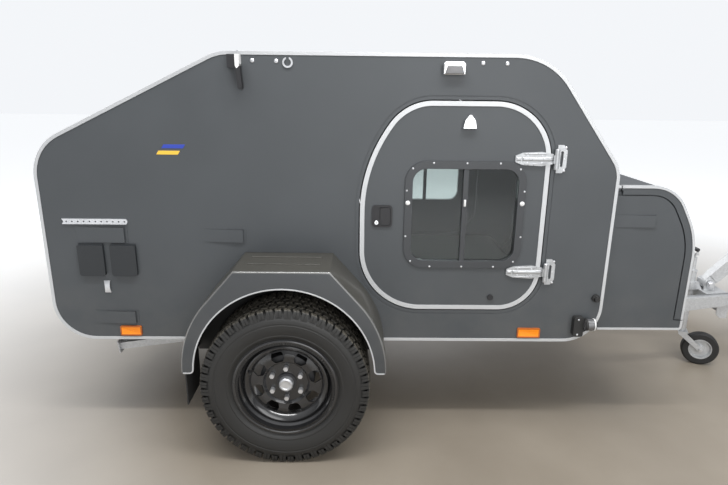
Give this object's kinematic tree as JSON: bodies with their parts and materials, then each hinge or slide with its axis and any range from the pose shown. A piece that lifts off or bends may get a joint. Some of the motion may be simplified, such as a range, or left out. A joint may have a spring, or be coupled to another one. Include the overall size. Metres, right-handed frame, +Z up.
{
  "type": "teardrop trailer",
  "caption": "Compact camping trailer with a sloping tail hatch, round-cornered side doors, nose box, black wheels under folded fenders and a raised drawbar with a jockey wheel",
  "frame": {"origin": "middle of the bounding box in plan, at the ground under the tyres", "axes": "+X towards the tow coupling, +Y to the trailer's left, +Z up"},
  "size_m": [4.23, 1.9844, 1.739],
  "materials": {
    "body_grey": "fine textured dark grey coating",
    "floor_board": "dark sealed plywood",
    "bright_edge": "satin",
    "black_plastic": "matt",
    "dark_plastic": "matt",
    "tinted_pane": "clear, lightly tinted",
    "zinc_plate": "bright zinc",
    "birch_board": "oiled birch",
    "bed_fabric": "plain woven cover",
    "road_tyre": "matt rubber",
    "black_steel": "gloss black",
    "dark_iron": "painted casting",
    "black_rubber": "matt",
    "galvanised": "hot-dip galvanised",
    "amber_plastic": "clear lens",
    "clear_plastic": "clear lens",
    "red_plastic": "clear lens"
  },
  "bodies": {
    "trailer_body": {"side_panel_right": "body_grey", "side_panel_left": "body_grey", "roof_skin": "body_grey", "rear_sill": "body_grey", "floor_panel": "floor_board", "front_box_tub": "body_grey", "edge_trims": "bright_edge", "door_hinge_plates": "zinc_plate", "panel_hinge_leaves": "zinc_plate", "bulkhead": "birch_board", "galley_unit": "birch_board", "mattress": "bed_fabric", "fenders": "black_steel", "rubber_fittings": "black_rubber", "chassis_frame": "galvanised", "axle_beam": "galvanised", "steady_brackets": "galvanised", "drawbar_head_fittings": "galvanised", "jockey_tube": "galvanised", "vent_covers": "body_grey", "socket_lids": "dark_plastic", "marker_lenses": "clear_plastic", "jockey_grip": "black_plastic", "porch_lamps": "dark_plastic", "amber_lenses": "amber_plastic", "side_metalwork": "zinc_plate", "rear_lamps": "red_plastic"},
    "wheel_right": {"tyre_right": "road_tyre", "rim_right": "black_steel", "hub_right": "dark_iron"},
    "wheel_left": {"tyre_left": "road_tyre", "rim_left": "black_steel", "hub_left": "dark_iron"},
    "door_right": {"door_panel_right": "body_grey", "door_trim_right": "bright_edge", "window_frame_right": "black_plastic", "window_glass_right": "tinted_pane", "door_hardware_right": "zinc_plate"},
    "door_left": {"door_panel_left": "body_grey", "door_trim_left": "bright_edge", "window_frame_left": "black_plastic", "window_glass_left": "tinted_pane", "door_hardware_left": "zinc_plate"},
    "hatch": {"hatch_panel": "body_grey", "hatch_fittings": "zinc_plate", "plate_holder": "black_plastic"},
    "front_box_lid": {"front_box_lid": "body_grey", "front_box_lid_trim": "bright_edge", "front_box_lid_leaves": "zinc_plate"},
    "steady_right": {"steady_leg_right": "galvanised"},
    "steady_left": {"steady_leg_left": "galvanised"},
    "tow_arm": {"tow_arm": "galvanised"},
    "hitch": {"overrun_housing": "galvanised", "coupling_head": "dark_iron", "coupling_levers": "black_plastic"},
    "jockey_leg": {"jockey_leg": "galvanised"},
    "jockey_fork": {"jockey_fork": "galvanised"},
    "jockey_wheel": {"jockey_tyre": "black_rubber", "jockey_wheel_centre": "galvanised"}
  },
  "joints": [
    {"name": "wheel_right_spin", "type": "hinge", "parent": "trailer_body", "child": "wheel_right", "pos_m": [-1.016, -0.875, 0.362], "axis": [0, 1, 0], "continuous": true},
    {"name": "wheel_left_spin", "type": "hinge", "parent": "trailer_body", "child": "wheel_left", "pos_m": [-1.016, 0.875, 0.362], "axis": [0, 1, 0], "continuous": true},
    {"name": "door_right_hinge", "type": "hinge", "parent": "trailer_body", "child": "door_right", "pos_m": [0.12, -0.736, 1.055], "axis": [0, 0, 1], "range_deg": [0, 175]},
    {"name": "door_left_hinge", "type": "hinge", "parent": "trailer_body", "child": "door_left", "pos_m": [0.12, 0.736, 1.055], "axis": [0, 0, -1], "range_deg": [0, 175]},
    {"name": "hatch_hinge", "type": "hinge", "parent": "trailer_body", "child": "hatch", "pos_m": [-1.2435, 0, 1.73], "axis": [0, 1, 0], "range_deg": [0, 70]},
    {"name": "front_box_lid_hinge", "type": "hinge", "parent": "trailer_body", "child": "front_box_lid", "pos_m": [0.4335, 0, 1.196], "axis": [0, -1, 0], "range_deg": [0, 80]},
    {"name": "steady_right_hinge", "type": "hinge", "parent": "trailer_body", "child": "steady_right", "pos_m": [-1.446, -0.575, 0.425], "axis": [0, -1, 0], "range_deg": [0, 60]},
    {"name": "steady_left_hinge", "type": "hinge", "parent": "trailer_body", "child": "steady_left", "pos_m": [-1.446, 0.575, 0.425], "axis": [0, -1, 0], "range_deg": [0, 60]},
    {"name": "tow_arm_tilt", "type": "hinge", "parent": "trailer_body", "child": "tow_arm", "pos_m": [1.345, 0, 0.506], "axis": [0, -1, 0], "range_deg": [-30, 20]},
    {"name": "hitch_level", "type": "hinge", "parent": "tow_arm", "child": "hitch", "pos_m": [1.5534, 0, 0.7218], "axis": [0, -1, 0], "range_deg": [-20, 30]},
    {"name": "jockey_leg_slide", "type": "slide", "parent": "trailer_body", "child": "jockey_leg", "axis": [0, 0, 1], "range_m": [0, 0.11]},
    {"name": "jockey_fork_swivel", "type": "hinge", "parent": "jockey_leg", "child": "jockey_fork", "pos_m": [1.254, 0, 0.29], "axis": [0, 0, 1], "continuous": true},
    {"name": "jockey_wheel_spin", "type": "hinge", "parent": "jockey_fork", "child": "jockey_wheel", "pos_m": [1.35414, -0.04046, 0.1], "axis": [0.3746, 0.9272, 0], "continuous": true}
  ],
  "couplings": [
    {"joint": "hitch_level", "follows": "tow_arm_tilt", "ratio": -1}
  ]
}
